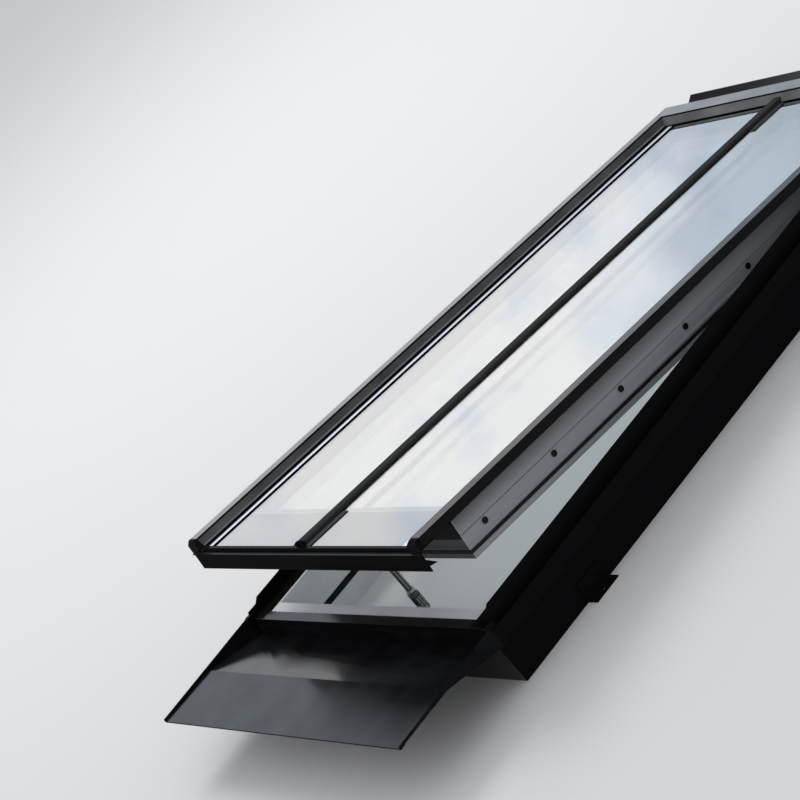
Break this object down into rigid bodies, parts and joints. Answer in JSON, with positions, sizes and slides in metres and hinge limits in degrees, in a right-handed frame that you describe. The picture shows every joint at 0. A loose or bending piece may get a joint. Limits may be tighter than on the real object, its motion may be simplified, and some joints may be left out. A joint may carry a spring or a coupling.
{
  "type": "roof skylight",
  "caption": "Top-hung roof skylight: black kerb and flashings, double-glazed sash with a glazing bar, held a little open by a forked stay at its lower edge.",
  "frame": {"origin": "centre of the kerb's underside, on the plane of the four fixing brackets' undersides and at the centre of their hole pattern", "axes": "+X along the eaves, to the right seen from the eaves; +Y up the roof's slope, towards the hinged head; +Z out of the roof"},
  "size_m": [0.814, 1.723, 0.3129],
  "materials": {
    "black_steel": "satin",
    "painted_timber": "painted",
    "zinc_steel": "zinc plated",
    "glass": "clear",
    "rubber": "matt",
    "black_plastic": "matt",
    "grey_liner": "satin",
    "spacer_bar": "matt",
    "stay_steel": "satin"
  },
  "bodies": {
    "base": {"kerb_left": "painted_timber", "kerb_right": "painted_timber", "kerb_front": "painted_timber", "kerb_head": "painted_timber", "capping_left": "black_steel", "capping_right": "black_steel", "capping_front": "black_steel", "capping_head": "black_steel", "landing_seal": "rubber", "apron_flashing": "black_steel", "side_flashing_left": "black_steel", "side_flashing_right": "black_steel", "head_flashing": "black_steel", "fixing_brackets": "black_steel", "bracket_screws": "black_steel", "hinge_bracket_left": "zinc_steel", "hinge_bracket_right": "zinc_steel", "hinge_pin_left": "zinc_steel", "hinge_pin_right": "zinc_steel", "stay_keep": "zinc_steel", "stay_peg": "zinc_steel"},
    "sash": {"stile_left": "black_steel", "stile_right": "black_steel", "head_rail": "black_steel", "stile_end_caps": "black_plastic", "outer_pane": "glass", "spacer_frame": "spacer_bar", "inner_pane": "glass", "glazing_gasket": "rubber", "front_edge_trim": "black_steel", "drip_skirt": "black_steel", "glazing_bar": "black_steel", "bar_foot_plates": "black_steel", "liner_left": "grey_liner", "liner_right": "grey_liner", "liner_head": "grey_liner", "liner_front": "grey_liner", "liner_gasket": "rubber", "liner_screws": "black_steel", "stay_bracket": "zinc_steel", "stay_pivot_pin": "zinc_steel", "hinge_lug_left": "zinc_steel", "hinge_lug_right": "zinc_steel"},
    "stay": {"stay_arm": "stay_steel", "stay_fork": "stay_steel"}
  },
  "joints": [
    {"name": "sash_hinge", "type": "hinge", "parent": "base", "child": "sash", "pos_m": [0, 0.6865, 0.1327], "axis": [-1, 0, 0], "range_deg": [-6.89, 0]},
    {"name": "stay_pivot", "type": "hinge", "parent": "sash", "child": "stay", "pos_m": [0, -0.57142, 0.2424], "axis": [-1, 0, 0], "range_deg": [-78, 0]}
  ],
  "couplings": [
    {"joint": "stay_pivot", "follows": "sash_hinge", "ratio": 11.28}
  ]
}
